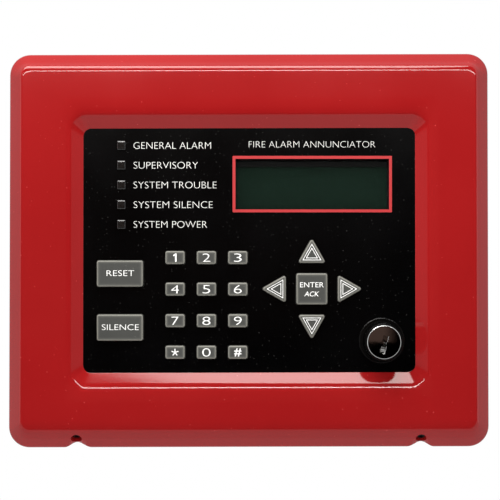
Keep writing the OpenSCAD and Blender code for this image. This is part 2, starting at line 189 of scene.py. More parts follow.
powder_coat, _, _ = new_finish("powder_coat", ((0.56, 0.56, 0.54), (0.62, 0.62, 0.6)), (0.42, 0.55),
                               grain=1800.0, depth=0.03, dust=0.42)
zinc, _, _ = new_finish("zinc_plate", ((0.5, 0.51, 0.52), (0.66, 0.66, 0.64)), (0.24, 0.42), metallic=1.0,
                        drift=300.0, grain=6000.0, depth=0.004)
earth_green, _, _ = new_finish("earth_green", ((0.03, 0.22, 0.06), (0.05, 0.3, 0.09)), (0.35, 0.5),
                               drift=400.0)
dress(powder_coat, "back_box")
dress(zinc, "box_standoffs", "bezel_tabs")
dress(earth_green, "earth_screw")


# ---- Main board ----
# Glass-fibre circuit board with green solder mask over copper tracks. Its parts are soldered to
# the back, and the five status lamps to the front.

def board_finish(name):
    """Green mask over copper: tracks are the edges of stretched square cells, pads are small dots."""
    mat, shader, colour = new_finish(name, ((0.012, 0.1, 0.045), (0.02, 0.13, 0.06)), (0.28, 0.36),
                                     drift=30.0, grain=3000.0, depth=0.004)
    tree = mat.node_tree
    place = tree.nodes.new("ShaderNodeTexCoord")
    cells = tree.nodes.new("ShaderNodeTexVoronoi")
    cells.distance = "CHEBYCHEV"
    cells.feature = "F1"
    cells.inputs["Scale"].default_value = 190.0
    cells.inputs["Randomness"].default_value = 0.7
    tree.links.new(place.outputs["Object"], cells.inputs["Vector"])
    far = maths(tree, "GREATER_THAN", cells.outputs["Distance"], 0.43)
    near = maths(tree, "LESS_THAN", cells.outputs["Distance"], 0.1)
    tracked = blend_colours(mat, far, colour, (0.05, 0.24, 0.1))
    padded = blend_colours(mat, near, tracked, (0.62, 0.6, 0.5))
    tree.links.new(padded, shader.inputs["Base Color"])
    return mat


chip_black, _, _ = new_finish("chip_black", ((0.018, 0.018, 0.019), (0.03, 0.03, 0.031)), (0.5, 0.65),
                              drift=300.0, grain=5000.0, depth=0.006)
can_sleeve, _, _ = new_finish("can_sleeve", ((0.03, 0.05, 0.16), (0.04, 0.06, 0.2)), (0.25, 0.35),
                              drift=200.0)
terminal_green, _, _ = new_finish("terminal_green", ((0.02, 0.2, 0.07), (0.03, 0.26, 0.1)), (0.35, 0.5),
                                  drift=150.0)
switch_red, _, _ = new_finish("switch_red", ((0.35, 0.02, 0.02), (0.42, 0.03, 0.03)), (0.35, 0.45),
                              drift=200.0)
lamp_body, _, _ = new_finish("lamp_body", ((0.75, 0.72, 0.55), (0.85, 0.82, 0.7)), (0.3, 0.4),
                             drift=400.0)
solder_mask = board_finish("solder_mask")
dress(solder_mask, "main_board", "lcd_board")
dress(chip_black, "microcontroller", "board_chips", "sounder", "lcd_header", "switch_block")
dress(can_sleeve, "capacitors")
dress(terminal_green, "terminal_block")
dress(switch_red, "dip_switch")
dress(lamp_body, "status_leds")
dress(zinc, "terminal_screws", "lcd_standoffs", "lcd_screws", "plate_studs", "stud_nuts", "plate_screws",
      "lock_washer", "lock_nut")


# ---- Character display ----
# A 20 by 4 character module: dark green liquid crystal glass in a black folded steel frame, over
# a light spreader. The cells of the characters show faintly when the module is off.

glass_dark, glass_shader, glass_colour = new_finish(
    "display_glass", ((0.0048, 0.0135, 0.009), (0.006, 0.0155, 0.0105)), (0.08, 0.12), drift=18.0,
    grain=900.0, depth=0.0006, ior=1.3)
cell_grid = glass_dark.node_tree.nodes.new("ShaderNodeTexBrick")
cell_grid.offset = 0.0
cell_grid.inputs["Scale"].default_value = 1.0
cell_grid.inputs["Brick Width"].default_value = 3.55 * MM
cell_grid.inputs["Row Height"].default_value = 5.35 * MM
cell_grid.inputs["Mortar Size"].default_value = 0.3 * MM
cell_grid.inputs["Color1"].default_value = (1, 1, 1, 1)
cell_grid.inputs["Color2"].default_value = (1, 1, 1, 1)
cell_grid.inputs["Mortar"].default_value = (0, 0, 0, 1)
cell_place = glass_dark.node_tree.nodes.new("ShaderNodeTexCoord")
cell_turn = glass_dark.node_tree.nodes.new("ShaderNodeMapping")
cell_turn.inputs["Rotation"].default_value = (-pi / 2, 0, 0)
glass_links = glass_dark.node_tree.links
glass_links.new(cell_place.outputs["Object"], cell_turn.inputs["Vector"])
glass_links.new(cell_turn.outputs["Vector"], cell_grid.inputs["Vector"])
cell_shade = maths(glass_dark.node_tree, "MULTIPLY", cell_grid.outputs["Color"], 0.16)
glass_links.new(blend_colours(glass_dark, cell_shade, glass_colour, (0.011, 0.025, 0.018)),
                glass_shader.inputs["Base Color"])
spreader, _, _ = new_finish("spreader", ((0.6, 0.68, 0.52), (0.66, 0.74, 0.58)), (0.4, 0.5))
black_metal, _, _ = new_finish("black_metal", ((0.002, 0.0022, 0.0022), (0.004, 0.0042, 0.0042)), (0.55, 0.7),
                               ior=1.25, drift=120.0, grain=4000.0, depth=0.006)
dress(glass_dark, "lcd_glass")
dress(spreader, "lcd_backlight")
dress(black_metal, "lcd_frame", "front_plate", "bezel_screws")


# ---- Front plate and window ----
# The steel plate carries everything that faces the user. A thin clear sheet closes the display
# opening from behind, and nylon sleeves on welded studs hold the main board off the plate.

window_clear, window_shader, _ = new_finish("window_clear", ((0.008, 0.01, 0.009), (0.012, 0.014, 0.013)),
                                            (0.03, 0.05), grain=500.0, depth=0.0002)
window_shader.inputs["Alpha"].default_value = 0.06
nylon, _, _ = new_finish("nylon", ((0.7, 0.69, 0.64), (0.78, 0.77, 0.72)), (0.4, 0.5), drift=200.0)
dress(window_clear, "lcd_window")
dress(nylon, "stud_spacers")


# ---- Printed film ----
# A black polyester film with a fine satin face covers the plate. Its white legends and the red
# frame round the display are screen printed, so they stand a hair above the film.

def to_row(points):
    """Turns panel axes (right, up, out, in mm) into the part's own frame in metres."""
    p = np.asarray(points, float)
    return np.stack([p[..., 0], -p[..., 2], p[..., 1]], -1) * MM


def new_piece(name, points, faces, mat, body, sharp=35.0):
    """A smooth-shaded piece from points in panel axes. Edges that turn more than sharp degrees stay
    crisp."""
    mesh = bpy.data.meshes.new(name)
    mesh.from_pydata(to_row(points), [], faces.tolist() if isinstance(faces, np.ndarray) else faces)
    mesh.materials.append(mat)
    mesh.shade_smooth()
    mesh.set_sharp_from_angle(angle=radians(sharp))
    piece = bpy.data.objects.new(name, mesh)
    bpy.context.scene.collection.objects.link(piece)
    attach(piece, body)
    return piece


def rounded_outline(corners, radius, grow=0.0, steps=6):
    """Outline of a convex polygon (anticlockwise corners), grown by grow, with round corners.
    An arc's centre is where its two edges meet once both are moved in by the arc's radius."""
    corners = np.asarray(corners, float)
    along = np.roll(corners, -1, 0) - corners
    out = np.stack([along[:, 1], -along[:, 0]], 1) / np.linalg.norm(along, axis=1)[:, None]
    reach = (out * corners).sum(1)
    arc = max(radius + grow, 0.05)
    before, reach_before = np.roll(out, 1, 0), np.roll(reach, 1) - arc + grow
    reach = reach - arc + grow
    cross = before[:, 0] * out[:, 1] - before[:, 1] * out[:, 0]
    x = (reach_before * out[:, 1] - reach * before[:, 1]) / cross
    y = (before[:, 0] * reach - out[:, 0] * reach_before) / cross
    start = np.arctan2(before[:, 1], before[:, 0])
    turn = (np.arctan2(out[:, 1], out[:, 0]) - start) % (2 * pi)
    angle = start[:, None] + turn[:, None] * np.linspace(0, 1, steps + 1)
    round_x, round_y = x[:, None] + arc * np.cos(angle), y[:, None] + arc * np.sin(angle)
    return np.stack([round_x, round_y], -1).reshape(-1, 2)


def box_corners(x0, x1, y0, y1):
    """The corners of an upright rectangle, anticlockwise."""
    return [(x1, y0), (x1, y1), (x0, y1), (x0, y0)]


def at_height(outline, out):
    """Lifts a flat outline to a height in front of the wall."""
    return np.column_stack([outline, np.full(len(outline), out)])


def skin_faces(rings, points, closed):
    """Quads between neighbouring rings; a closed skin joins the last ring to the first."""
    j = np.arange(rings if closed else rings - 1)[:, None]
    i = np.arange(points)[None, :]
    k, after = (j + 1) % rings, (i + 1) % points
    quads = [j * points + i, j * points + after, k * points + after, k * points + i]
    return np.stack(quads, -1).reshape(-1, 4)


def closed_skin(rings):
    """Points and faces of a stack of rings whose two ends are closed by fans round their middles."""
    rings = np.asarray(rings)
    count, n = rings.shape[:2]
    points = np.concatenate([rings.reshape(-1, 3), [rings[0].mean(0)], [rings[-1].mean(0)]])
    i = np.arange(n)
    first = np.stack([(i + 1) % n, i, np.full(n, count * n)], 1)
    end = (count - 1) * n
    last = np.stack([i + end, (i + 1) % n + end, np.full(n, count * n + 1)], 1)
    return points, skin_faces(count, n, False).tolist() + first.tolist() + last.tolist()


ink_thick = 0.02


def printed_ring(name, corners, radius, inner, line, out, body, mat):
    """A flat printed line: the band between an outline shrunk by inner and one by inner + line."""
    top = out + ink_thick
    edges = [(-inner, out), (-inner, top), (-inner - line, top), (-inner - line, out)]
    rings = [at_height(rounded_outline(corners, radius, grow), z) for grow, z in edges]
    points = np.concatenate(rings)
    return new_piece(name, points, skin_faces(len(edges), len(rings[0]), True), mat, body)


def legend(text, cap, width, middle_y, out, left=None, middle_x=None, weight=0.0, lean=0.0):
    """A word as a thin solid: letters in the built-in font, stretched to a cap height and a width."""
    curve = bpy.data.curves.new("letters", "FONT")
    curve.body = text
    curve.offset = weight
    curve.extrude = 0.1
    curve.resolution_u = 5
    holder = bpy.data.objects.new("letters", curve)
    bpy.context.scene.collection.objects.link(holder)
    shapes = bpy.context.evaluated_depsgraph_get()
    mesh = bpy.data.meshes.new_from_object(holder.evaluated_get(shapes))
    bpy.data.objects.remove(holder)
    tidy = bmesh.new()
    tidy.from_mesh(mesh)
    bmesh.ops.remove_doubles(tidy, verts=tidy.verts, dist=1e-5)
    bmesh.ops.recalc_face_normals(tidy, faces=tidy.faces)
    co = np.array([v.co for v in tidy.verts])
    faces = [[v.index for v in f.verts] for f in tidy.faces]
    tidy.free()
    bpy.data.meshes.remove(mesh)
    co -= co.min(0)
    size = co.max(0)
    co *= np.array([width, cap, ink_thick]) / size
    start = left if left is not None else middle_x - width / 2
    co[:, 0] += lean * (co[:, 1] - cap / 2) + start
    co[:, 1] += middle_y - cap / 2
    co[:, 2] += out
    return co, faces


def join_shapes(shapes):
    """One list of points and faces from several."""
    points, faces, start = [], [], 0
    for co, part in shapes:
        points.append(co)
        faces += [[v + start for v in face] for face in part]
        start += len(co)
    return np.concatenate(points), faces


film_black, _, _ = new_finish(
    "film_black", ((0.0003, 0.0003, 0.0004), (0.0012, 0.0012, 0.0014)), (0.12, 0.17), ior=1.3, drift=22.0,
    grain=2600.0, depth=0.0015, dust=0.47, dust_scale=620.0, dust_colour=(0.06, 0.06, 0.058))
white_ink, _, _ = new_finish("white_ink", ((0.76, 0.76, 0.74), (0.83, 0.83, 0.81)), (0.4, 0.5),
                             drift=300.0, grain=5000.0, depth=0.002)
red_ink, _, _ = new_finish("red_ink", ((0.41, 0.014, 0.017), (0.46, 0.018, 0.022)), (0.4, 0.5),
                           drift=60.0, grain=4000.0, depth=0.002)
dress(film_black, "overlay")

lamp_top, lamp_pitch = 52.9, 9.97
lamp_rows = [lamp_top - lamp_pitch * i for i in range(5)]
words_left, title_left, title_y = -58.15, 0.05, 53.5
status_words = [("GENERAL ALARM", 39.1), ("SUPERVISORY", 32.5), ("SYSTEM TROUBLE", 41.9),
                ("SYSTEM SILENCE", 40.0), ("SYSTEM POWER", 37.1)]
words = [legend(word, 3.35, width, y, film_front, left=words_left, weight=-0.022)
         for (word, width), y in zip(status_words, lamp_rows)]
words.append(legend("FIRE ALARM ANNUNCIATOR", 3.15, 63.9, title_y, film_front, left=title_left,
                    weight=-0.025))
panel_words = new_piece("panel_legends", *join_shapes(words), white_ink, "panel", sharp=20.0)
display_corners = box_corners(-8.15, 72.35, 19.15, 47.65)
display_line = printed_ring("display_line", display_corners, radius=0.4, inner=0.0, line=1.45,
                            out=film_front, body="panel", mat=red_ink)


# ---- Status lamp lenses ----
# Clear acrylic light guides with a square tip. They are pressed into the plate from behind, so
# their tips stand proud of the film.

lens_clear, _, _ = new_finish("lens_clear", ((0.003, 0.003, 0.003), (0.009, 0.009, 0.009)), (0.06, 0.12),
                              drift=700.0, grain=3000.0, depth=0.004, ior=1.7, coat=1.0)
lens_low, lens_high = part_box("led_lenses")
lens_front = -lens_low.y / MM
lens_back = -lens_high.y / MM
plate_back = -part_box("front_plate")[1].y / MM
lens_foot = 0.8
lens_edge = (lens_high.x - lens_low.x) / MM / 2 - lens_foot
lens_rise = 2.25
lens_mid_x = (lens_high.x + lens_low.x) / MM / 2
# How far the lens reaches outside its tip's outline at each height: a flanged foot, then the domed tip
lens_steps = [(lens_foot - 0.1, lens_back), (lens_foot, lens_back + 0.1), (lens_foot, plate_back - 0.1),
              (lens_foot - 0.1, plate_back), (0.0, plate_back), (0.0, lens_front - 0.6),
              (-0.08, lens_front - 0.3), (-0.3, lens_front - 0.08), (-0.6, lens_front), (-0.75, lens_front)]
lenses = []
for y in lamp_rows:
    tip = box_corners(lens_mid_x - lens_edge, lens_mid_x + lens_edge, y - lens_rise, y + lens_rise)
    lenses.append(closed_skin([at_height(rounded_outline(tip, 0.3, grow), z) for grow, z in lens_steps]))
lens_piece = new_piece("lamp_lenses", *join_shapes(lenses), lens_clear, "panel", sharp=50.0)
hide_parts("led_lenses")


# ---- Keypad ----
# Each key is moulded in grey silicone rubber with a rim that holds it behind the plate and a foot
# that presses a carbon pad onto the board. The rubber is a little translucent. Its edges carry a
# painted highlight that makes them lighter than its flat top, which is screen printed in white.

rubber_grey, rubber_shader, rubber_colour = new_finish(
    "rubber_grey", ((0.04, 0.041, 0.0375), (0.049, 0.05, 0.0455)), (0.5, 0.62), drift=45.0, grain=3500.0,
    depth=0.008, dust=0.4, dust_scale=700.0, dust_colour=(0.3, 0.3, 0.27))
# Painted highlight: the rubber is blended towards a lighter grey where the rim attribute is high, along each
# key's top edges
rim_highlight_attribute = rubber_grey.node_tree.nodes.new("ShaderNodeAttribute")
rim_highlight_attribute.attribute_name = "rim"
rubber_grey.node_tree.links.new(
    blend_colours(rubber_grey, rim_highlight_attribute.outputs["Fac"], rubber_colour, (0.2, 0.196, 0.172)),
    rubber_shader.inputs["Base Color"])
mat_grey, _, _ = new_finish("mat_grey", ((0.1, 0.1, 0.095), (0.12, 0.12, 0.11)), (0.55, 0.65))
dress(mat_grey, "keypad_mat")
key_white, _, _ = new_finish("key_white", ((0.95, 0.95, 0.94), (0.98, 0.98, 0.97)), (0.45, 0.55), drift=400.0,
                             grain=5000.0, depth=0.002)

key_low, key_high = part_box("key_1")
key_front, key_foot = -key_low.y / MM, -key_high.y / MM
rim_top = plate_back - 0.15
rim_bottom = rim_top - 0.9
# How far the key's side lies outside its outline at each height, and how much painted highlight the rubber
# gets there
key_profile = [(-1.1, key_foot, 0), (-1.1, rim_bottom, 0), (0.9, rim_bottom, 0), (1.0, rim_bottom + 0.1, 0),
               (1.0, rim_top - 0.1, 0), (0.9, rim_top, 0), (0.0, rim_top, 0), (0.0, film_front, 0.15),
               (-0.08, key_front - 0.9, 0.35), (-0.12, key_front - 0.5, 0.7), (-0.2, key_front - 0.25, 1.0),
               (-0.36, key_front - 0.09, 1.0), (-0.6, key_front - 0.02, 0.75), (-0.9, key_front, 0.3),
               (-1.3, key_front, 0.1), (-1.9, key_front, 0.0)]


def rubber_key(node, corners, radius=1.15):
    """A key from its outline: the profile carried round it, its top closed by a fan."""
    rings = [at_height(rounded_outline(corners, radius, grow, 5), z) for grow, z, _ in key_profile]
    points, faces = closed_skin(rings)
    key = new_piece("rubber_" + node, points, faces, rubber_grey, node + "_cap", sharp=60.0)
    # Each height's share of painted highlight, from key_profile, goes into the rim attribute
    light = np.repeat([rim for _, _, rim in key_profile], len(rings[0]))
    rim = key.data.attributes.new("rim", "FLOAT", "POINT")
    rim.data.foreach_set("value", np.concatenate([light, [0, 0]]).astype(np.float32))
    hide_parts(node)


def key_print(node, shapes):
    """The white printing on a key's top, which moves with the key."""
    ink = new_piece("print_" + node, *join_shapes(shapes), key_white, node + "_cap", sharp=20.0)


def cad_middle(node):
    """The middle of a CAD node as seen from the front, in mm."""
    low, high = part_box(node)
    return (low.x + high.x) / 2 / MM, (low.z + high.z) / 2 / MM


def cad_corners(node, rim=1.08):
    """The outline of a square-cornered key, from its CAD node less the hidden rim."""
    low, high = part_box(node)
    return box_corners(low.x / MM + rim, high.x / MM - rim, low.z / MM + rim, high.z / MM - rim)


def flat_shape(outline, x, y, out):
    """A thin solid of one outline, placed at x, y."""
    placed = np.add(outline, (x, y))
    rings = np.concatenate([at_height(placed, out), at_height(placed, out + ink_thick)])
    n = len(outline)
    return rings, skin_faces(2, n, False).tolist() + [list(range(n))[::-1], list(range(n, 2 * n))]


def asterisk(arms, long, thick):
    """Outline of a star with straight arms, anticlockwise: an arm's two ends, then the notch after it."""
    points = []
    for k in range(arms):
        angle = pi / 2 + 2 * pi * k / arms
        ahead = np.array([cos(angle), sin(angle)])
        aside = np.array([-sin(angle), cos(angle)]) * thick / 2
        notch = angle + pi / arms
        points += [ahead * long - aside, ahead * long + aside,
                   np.array([cos(notch), sin(notch)]) * thick / 2 / sin(pi / arms)]
    return points


one = [(0.0, -2.1), (0.78, -2.1), (0.78, 2.1), (0.2, 2.1), (-0.85, 1.35), (-0.85, 0.6), (0.0, 1.15)]
# The mark on each key and its width in mm
digit_marks = {"key_1": ("1", 1.7), "key_2": ("2", 3.9), "key_3": ("3", 3.8), "key_4": ("4", 4.0),
               "key_5": ("5", 3.8), "key_6": ("6", 3.9), "key_7": ("7", 3.7), "key_8": ("8", 4.0),
               "key_9": ("9", 3.9), "key_star": ("*", 3.5), "key_0": ("0", 4.2), "key_hash": ("#", 3.7)}
for node, (mark, width) in digit_marks.items():
    rubber_key(node, cad_corners(node))
    x, y = cad_middle(node)
    if mark == "1":
        key_print(node, [flat_shape(one, x, y, key_front)])
    elif mark == "*":
        key_print(node, [flat_shape(asterisk(5, 1.85, 0.5), x, y, key_front)])
    else:
        weight = 0.012 if mark == "#" else -0.014
        key_print(node, [legend(mark, 4.15, width, y, key_front, middle_x=x, weight=weight)])

for node, word, width in (("key_reset", "RESET", 13.8), ("key_silence", "SILENCE", 18.6)):
    rubber_key(node, cad_corners(node))
    x, y = cad_middle(node)
    key_print(node, [legend(word, 2.85, width, y + 0.25, key_front, middle_x=x + 0.3, weight=-0.014)])

rubber_key("key_enter", cad_corners("key_enter"))
enter_x, enter_y = cad_middle("key_enter")
key_print("key_enter", [
    legend("ENTER", 2.5, 11.9, enter_y + 2.1, key_front, middle_x=enter_x, weight=-0.006),
    legend("ACK", 2.5, 7.2, enter_y - 2.5, key_front, middle_x=enter_x, lean=0.2)])

# An arrow key is a triangle: how far its base lies from the enter key's middle, its height, half its base
arrow_in, arrow_rise, arrow_half = 13.0, 12.75, 7.25
for turn, node in enumerate(("key_up", "key_right", "key_down", "key_left")):
    angle = -pi / 2 * turn
    sharp = np.array([(arrow_half, arrow_in), (0, arrow_in + arrow_rise), (-arrow_half, arrow_in)])
    swing = np.array([[cos(angle), sin(angle)], [-sin(angle), cos(angle)]])
    corners = sharp @ swing + (enter_x, enter_y)
    rubber_key(node, corners, radius=1.0)
    for label, inner in (("outer", 1.45), ("inner", 2.45)):
        line = printed_ring(f"print_{node}_{label}", corners, radius=1.0, inner=inner, line=0.3,
                            out=key_front, body=node + "_cap", mat=key_white)


# ---- Key switch ----
# A turned barrel finished in gloss black, held from behind by a hexagonal nut over a lock washer,
# with a black trim ring on the film. The plug turns in it, and its chromed and polished face
# carries the keyway.

def turned(profile, middle, steps=96, closed=False):
    """A turned part: a profile of (radius, height) carried round the axis through middle."""
    profile = np.asarray(profile, float)
    angle = np.arange(steps) / steps * 2 * pi
    x = middle[0] + profile[:, 0, None] * np.cos(angle)
    y = middle[1] + profile[:, 0, None] * np.sin(angle)
    z = np.broadcast_to(profile[:, 1, None], x.shape)
    rings = np.stack([x, y, z], -1)
    if closed:
        return rings.reshape(-1, 3), skin_faces(len(profile), steps, True).tolist()
    return closed_skin(rings)


def eased(profile, bend, steps=4, closed=False):
    """Rounds a profile: each corner becomes a quadratic curve that starts and ends bend away from it.
    A bend may be a pair, for before and after the corner. A further point on the straight just
    outside each end keeps the flat faces flat in their shading."""
    profile = np.asarray(profile, float)
    bend = np.array([pair if isinstance(pair, tuple) else (pair, pair) for pair in bend], float)
    before, after = np.roll(profile, 1, 0) - profile, np.roll(profile, -1, 0) - profile
    reach = [np.linalg.norm(side[:, [0, -1]], axis=1)[:, None] for side in (before, after)]
    soft = [np.minimum(bend[:, k, None], length * 0.43) for k, length in enumerate(reach)]
    ends = [profile + side / length * far for side, length, far in zip((before, after), reach, soft)]
    rests = [profile + side / length * far * 1.15 for side, length, far in zip((before, after), reach, soft)]
    t = np.linspace(0, 1, steps + 1)[None, :, None]
    curve = ((1 - t) ** 2 * ends[0][:, None] + 2 * t * (1 - t) * profile[:, None]
             + t ** 2 * ends[1][:, None])
    curve = np.concatenate([rests[0][:, None], curve, rests[1][:, None]], 1)
    if not closed:
        return np.concatenate([profile[:1], curve[1:-1].reshape(-1, profile.shape[1]), profile[-1:]])
    return curve.reshape(-1, profile.shape[1])


def cut(piece, points, faces):
    """Cuts a closed shape out of a piece and keeps the result as the piece's own mesh."""
    mesh = bpy.data.meshes.new("cutter")
    mesh.from_pydata(to_row(points), [], faces)
    cutter = bpy.data.objects.new("cutter", mesh)
    bpy.context.scene.collection.objects.link(cutter)
    tool = piece.modifiers.new("cut", "BOOLEAN")
    tool.operation = "DIFFERENCE"
    tool.solver = "EXACT"
    tool.object = cutter
    shapes = bpy.context.evaluated_depsgraph_get()
    result = bpy.data.meshes.new_from_object(piece.evaluated_get(shapes))
    piece.modifiers.clear()
    piece.data = result
    bpy.data.objects.remove(cutter)
    result.shade_smooth()
    result.set_sharp_from_angle(angle=radians(35))


chrome, _, _ = new_finish("chrome", ((0.6, 0.6, 0.6), (0.66, 0.66, 0.66)), (0.015, 0.03), metallic=1.0,
                          drift=120.0, grain=900.0, depth=0.0006)
gloss_black, _, _ = new_finish("gloss_black", ((0.0015, 0.0015, 0.0015), (0.003, 0.003, 0.003)), (0.1, 0.16),
                               ior=1.42, drift=150.0, grain=3500.0, depth=0.001)
brass, _, _ = new_finish("brass", ((0.62, 0.42, 0.14), (0.7, 0.5, 0.2)), (0.25, 0.4), metallic=1.0,
                         drift=400.0)
dress(brass, "switch_terminals")

barrel_low, barrel_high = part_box("lock_barrel")
lock_mid = cad_middle("lock_barrel")
barrel_r = (barrel_high.x - barrel_low.x) / 2 / MM
barrel_front, barrel_back = -barrel_low.y / MM, -barrel_high.y / MM
plug_front = -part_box("lock_plug")[0].y / MM
head_r = 8.4
head_seat = plug_front - 1.7
barrel_profile = eased([(6.06, barrel_back), (barrel_r, barrel_back), (barrel_r, barrel_front),
                        (head_r + 0.06, barrel_front), (head_r + 0.06, head_seat), (6.06, head_seat)],
                       [0.1, 0.3, 0.14, 0.08, 0.05, 0.05], closed=True)
barrel = new_piece("key_switch_barrel", *turned(barrel_profile, lock_mid, closed=True), gloss_black, "panel")
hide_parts("lock_barrel")

ring_low, ring_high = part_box("lock_ring")
ring_r = (ring_high.x - ring_low.x) / 2 / MM
ring_bore, ring_front = barrel_r + 0.05, film_front + 2
ring_profile = eased([(ring_bore, film_front), (ring_r, film_front), (ring_r, ring_front),
                      (ring_bore, ring_front)], [0.05, 0.05, 0.3, 0.2], closed=True)
trim = new_piece("key_switch_ring", *turned(ring_profile, lock_mid, closed=True), gloss_black, "panel")
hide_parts("lock_ring")

plug_profile = eased([(0.5, barrel_back - 1.4), (7.6, barrel_back - 1.4), (7.6, barrel_back - 0.2),
                      (6.0, barrel_back - 0.2), (6.0, head_seat + 0.1), (head_r, head_seat + 0.1),
                      (head_r, plug_front - 0.28), (head_r - 0.3, plug_front), (0.5, plug_front)],
                     [0, 0.2, 0.2, 0.05, 0.05, 0.1, 0.08, 0.08, 0])
plug = new_piece("key_switch_plug", *turned(plug_profile, lock_mid), chrome, "key_plug")
# The keyway leans, has a ward on each side and a worn edge at the face
keyway_lean = radians(-13)
lean_turn = np.array([[cos(keyway_lean), sin(keyway_lean)], [-sin(keyway_lean), cos(keyway_lean)]])
keyway = np.array([(-1.2, 4.3), (-1.2, 1.0), (-0.7, 0.5), (-0.7, -0.5), (-1.2, -1.0), (-1.2, -4.3),
                   (1.2, -4.3), (1.2, -0.4), (0.8, 0.1), (0.8, 1.2), (1.2, 1.7), (1.2, 4.3)])
keyway_mid = np.array(lock_mid) - (0, 1.2)
keyway_deep, worn = 24, 0.13
slot_outline = keyway @ lean_turn + keyway_mid
worn_outline = (keyway + np.sign(keyway) * worn) @ lean_turn + keyway_mid
cut(plug, *closed_skin([at_height(slot_outline, plug_front - keyway_deep),
                        at_height(slot_outline, plug_front - worn),
                        at_height(worn_outline, plug_front + 0.01),
                        at_height(worn_outline, plug_front + 1)]))
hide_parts("lock_plug")

# The spring-loaded wafers that the key lifts; their sloped tips show in the keyway
wafer_half, wafer_long = 1.15, 2.0
wafers = []
for y, deep in ((-1.5, 2.4), (-2.5, 1.6), (-3.4, 2.0)):
    sides = np.array([(-wafer_half, y - 0.5), (wafer_half, y - 0.5), (wafer_half, y + 0.1),
                      (-wafer_half, y + 0.1)]) @ lean_turn + keyway_mid
    depths = [[deep + wafer_long] * 4, [deep + 0.5, deep + 0.5, deep, deep]]
    wafers.append(closed_skin([np.column_stack([sides, plug_front - np.array(d)]) for d in depths]))
wafer_piece = new_piece("key_switch_wafers", *join_shapes(wafers), zinc, "key_plug")


# ---- Bezel ----
# One moulding in glossy red plastic with a fine pebbled face. Its wall folds from the skirt over
# the bevel and the flat face down to the panel, and two grooves in the lower wall give a driver
# access to the grub screws that hold it to the box.

red_gloss, _, _ = new_finish(
    "red_gloss", ((0.27, 0.0072, 0.008), (0.295, 0.009, 0.0098)), (0.07, 0.1), drift=14.0, grain=1500.0,
    wave=1.0, depth=0.004, dust=0.43, dust_scale=290.0, dust_colour=(0.45, 0.04, 0.04))

# The frame's own sizes come from its CAD node; the others are the face, the panel and the opening
case_low, case_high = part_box("bezel")
case_w, case_h = (case_high.x - case_low.x) / MM, (case_high.z - case_low.z) / MM
face_out, skirt_out = -case_low.y / MM, -case_high.y / MM
face_w, face_h, face_up = 228.2, 181.3, 1.1
panel_w, panel_h, panel_up = 166.4, 122.7, 0.25
bevel_depth, wall = 8.0, 2.5
opening_w, opening_h = panel_w + 14.5, panel_h + 15.4
edge_out = face_out - bevel_depth
under_out = face_out - wall
# Stations of the wall's section: half width, half height, corner radius, middle, height off the wall
stations = np.array([
    (case_w / 2, case_h / 2, 10.5, 0, skirt_out),
    (case_w / 2, case_h / 2, 10.5, 0, edge_out),
    (case_w / 2 - 4, case_h / 2 - 5, 7.2, 0.15, edge_out + 4.6),
    (face_w / 2, face_h / 2 + 0.15, 4.0, face_up + 0.15, face_out),
    (opening_w / 2, opening_h / 2 + 0.55, 8.0, panel_up + 0.05, face_out),
    (panel_w / 2, panel_h / 2, 4.0, panel_up, film_front + 0.1),
    (panel_w / 2 + 4.7, panel_h / 2 + 4.7, 6.0, panel_up, film_front + 0.1),
    (panel_w / 2 + 7.7, panel_h / 2 + 7.7, 8.0, panel_up, under_out),
    (face_w / 2 - 1.2, face_h / 2 - 1.2, 3.4, face_up, under_out),
    (case_w / 2 - wall, case_h / 2 - wall, 8.0, 0, edge_out - 1.2),
    (case_w / 2 - wall, case_h / 2 - wall, 8.0, 0, skirt_out)])
outside = 6


def wall_section(mid, outer, inner, wider=0.0, crest=0.0):
    """The section on one side; its folds are mid on the bevel, outer and inner at the face's edges.
    The opening lies wider from the middle on that side, and the face's outer edge by crest."""
    bends = [0.5, 1.3, mid, outer, inner, 0.25, 0.4, 1.0, 1.5, 1.5, 0.5]
    placed = stations.copy()
    placed[4:8, :2] += wider
    placed[3, :2] += crest
    return eased(placed, bends, steps=9, closed=True)


# The folds differ from side to side, as the moulding does
right = wall_section(2.0, (1.7, 1.0), (5.0, 1.6), wider=0.4)
top = wall_section(1.6, (2.5, 2.4), (7.5, 1.9), crest=0.3)
left = wall_section(2.0, (1.2, 0.9), (5.0, 1.6))
bottom = wall_section(0.7, (2.6, 6.5), (9.0, 3.0), wider=0.25)
sections = np.stack([right, top, left, bottom])
is_outside = np.repeat(np.arange(len(stations)) < outside, sections.shape[1] // len(stations))

# Round each ring: where a point sits between the corner centres, and its direction on the corner
screw_share, straight_end = 0.785, 0.97
fine = np.linspace(screw_share - 0.07, screw_share + 0.07, 51)
lower = np.concatenate([np.linspace(-straight_end, -fine[-1] - 0.01, 4), -fine[::-1],
                        np.linspace(-0.7, 0.7, 21), fine, np.linspace(fine[-1] + 0.01, straight_end, 4)])
side = np.linspace(-straight_end, straight_end, 25)
quarter = np.linspace(0, pi / 2, 13)
corners = [[(sx, sy, cos(a), sin(a)) for a in start + quarter]
           for sx, sy, start in ((1, 1, 0.0), (-1, 1, pi / 2), (-1, -1, pi), (1, -1, 1.5 * pi))]
runs = [[(-u, 1, 0, 1) for u in side], [(-1, -u, -1, 0) for u in side], [(u, -1, 0, -1) for u in lower],
        [(1, u, 1, 0) for u in side]]
ring_table = np.array(sum((corner + run for corner, run in zip(corners, runs)), []))
# The share of each side's section at a point, which fades from one side to the next round a corner
toward = np.stack([ring_table[:, 2], ring_table[:, 3], -ring_table[:, 2], -ring_table[:, 3]]).clip(0) ** 2
half_w, half_h, radius, middle, shell_z = np.einsum("sp,sjk->kjp", toward, sections)
shell_x = ring_table[:, 0] * (half_w - radius) + radius * ring_table[:, 2]
shell_y = middle + ring_table[:, 1] * (half_h - radius) + radius * ring_table[:, 3]
